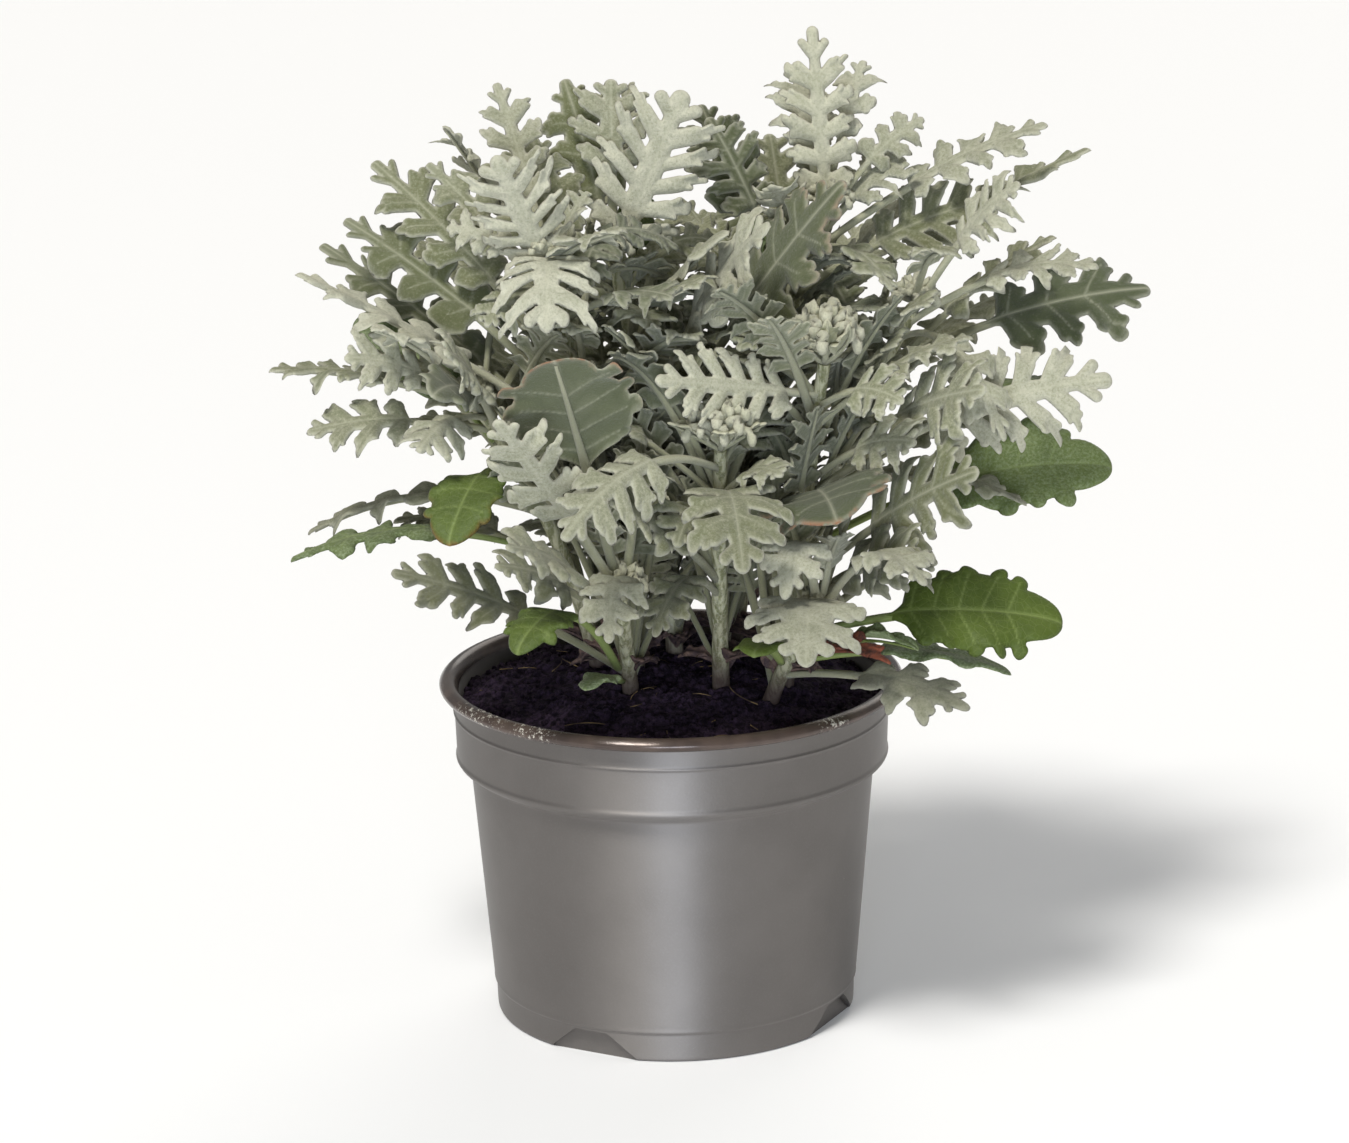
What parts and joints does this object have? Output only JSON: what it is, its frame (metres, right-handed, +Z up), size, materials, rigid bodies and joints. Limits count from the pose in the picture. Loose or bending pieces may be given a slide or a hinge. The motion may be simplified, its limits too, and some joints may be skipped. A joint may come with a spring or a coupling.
{
  "type": "potted dusty miller plant",
  "caption": "Potted dusty miller: a bushy clump of silver felted, deeply lobed leaves with a few older green ones, in a round grower's pot filled with domed peat.",
  "frame": {"origin": "centre of the pot's flat base disc, on the surface that the pot stands on", "axes": "+Z up along the pot's axis, -Y towards the front of the plant, +X to the right seen from the front"},
  "size_m": [0.243, 0.1863, 0.274],
  "materials": {
    "pot_plastic": "thermoformed polypropylene, taupe grey with a satin metallic sheen",
    "peat": "moist dark brown peat with fine fibres",
    "silver_felt": "living leaves and stems under a dense silver-white felt of hairs",
    "green_leaf": "older living leaves whose felt has thinned, matt green",
    "dry_leaf": "dry curled leaf, reddish brown"
  },
  "bodies": {
    "root": {"green_leaf_upper_left": "green_leaf", "green_leaf_side_left": "green_leaf", "green_leaf_low_left": "green_leaf", "green_leaf_hanging": "green_leaf", "green_leaf_on_soil": "green_leaf", "green_leaf_top_middle": "green_leaf", "green_leaf_top_right": "green_leaf", "green_leaf_right_thin": "green_leaf", "green_leaf_right_broad": "green_leaf", "green_leaf_right_low": "green_leaf", "green_leaf_front": "green_leaf", "green_leaf_folded": "green_leaf", "green_leaf_rim": "green_leaf", "dry_leaf": "dry_leaf", "leafy_stem_left_crown": "silver_felt", "leafy_stem_middle_top": "silver_felt", "leafy_stem_right_top": "silver_felt", "leafy_stem_right_side": "silver_felt", "leafy_stem_centre_rosette": "silver_felt", "leafy_stem_ball_head": "silver_felt", "leafy_stem_right_low": "silver_felt", "leafy_stem_left_low": "silver_felt", "leafy_stem_left_side": "silver_felt", "leafy_stem_back_left": "silver_felt", "leafy_stem_back_right": "silver_felt", "pot": "pot_plastic", "soil": "peat"}
  },
  "joints": []
}
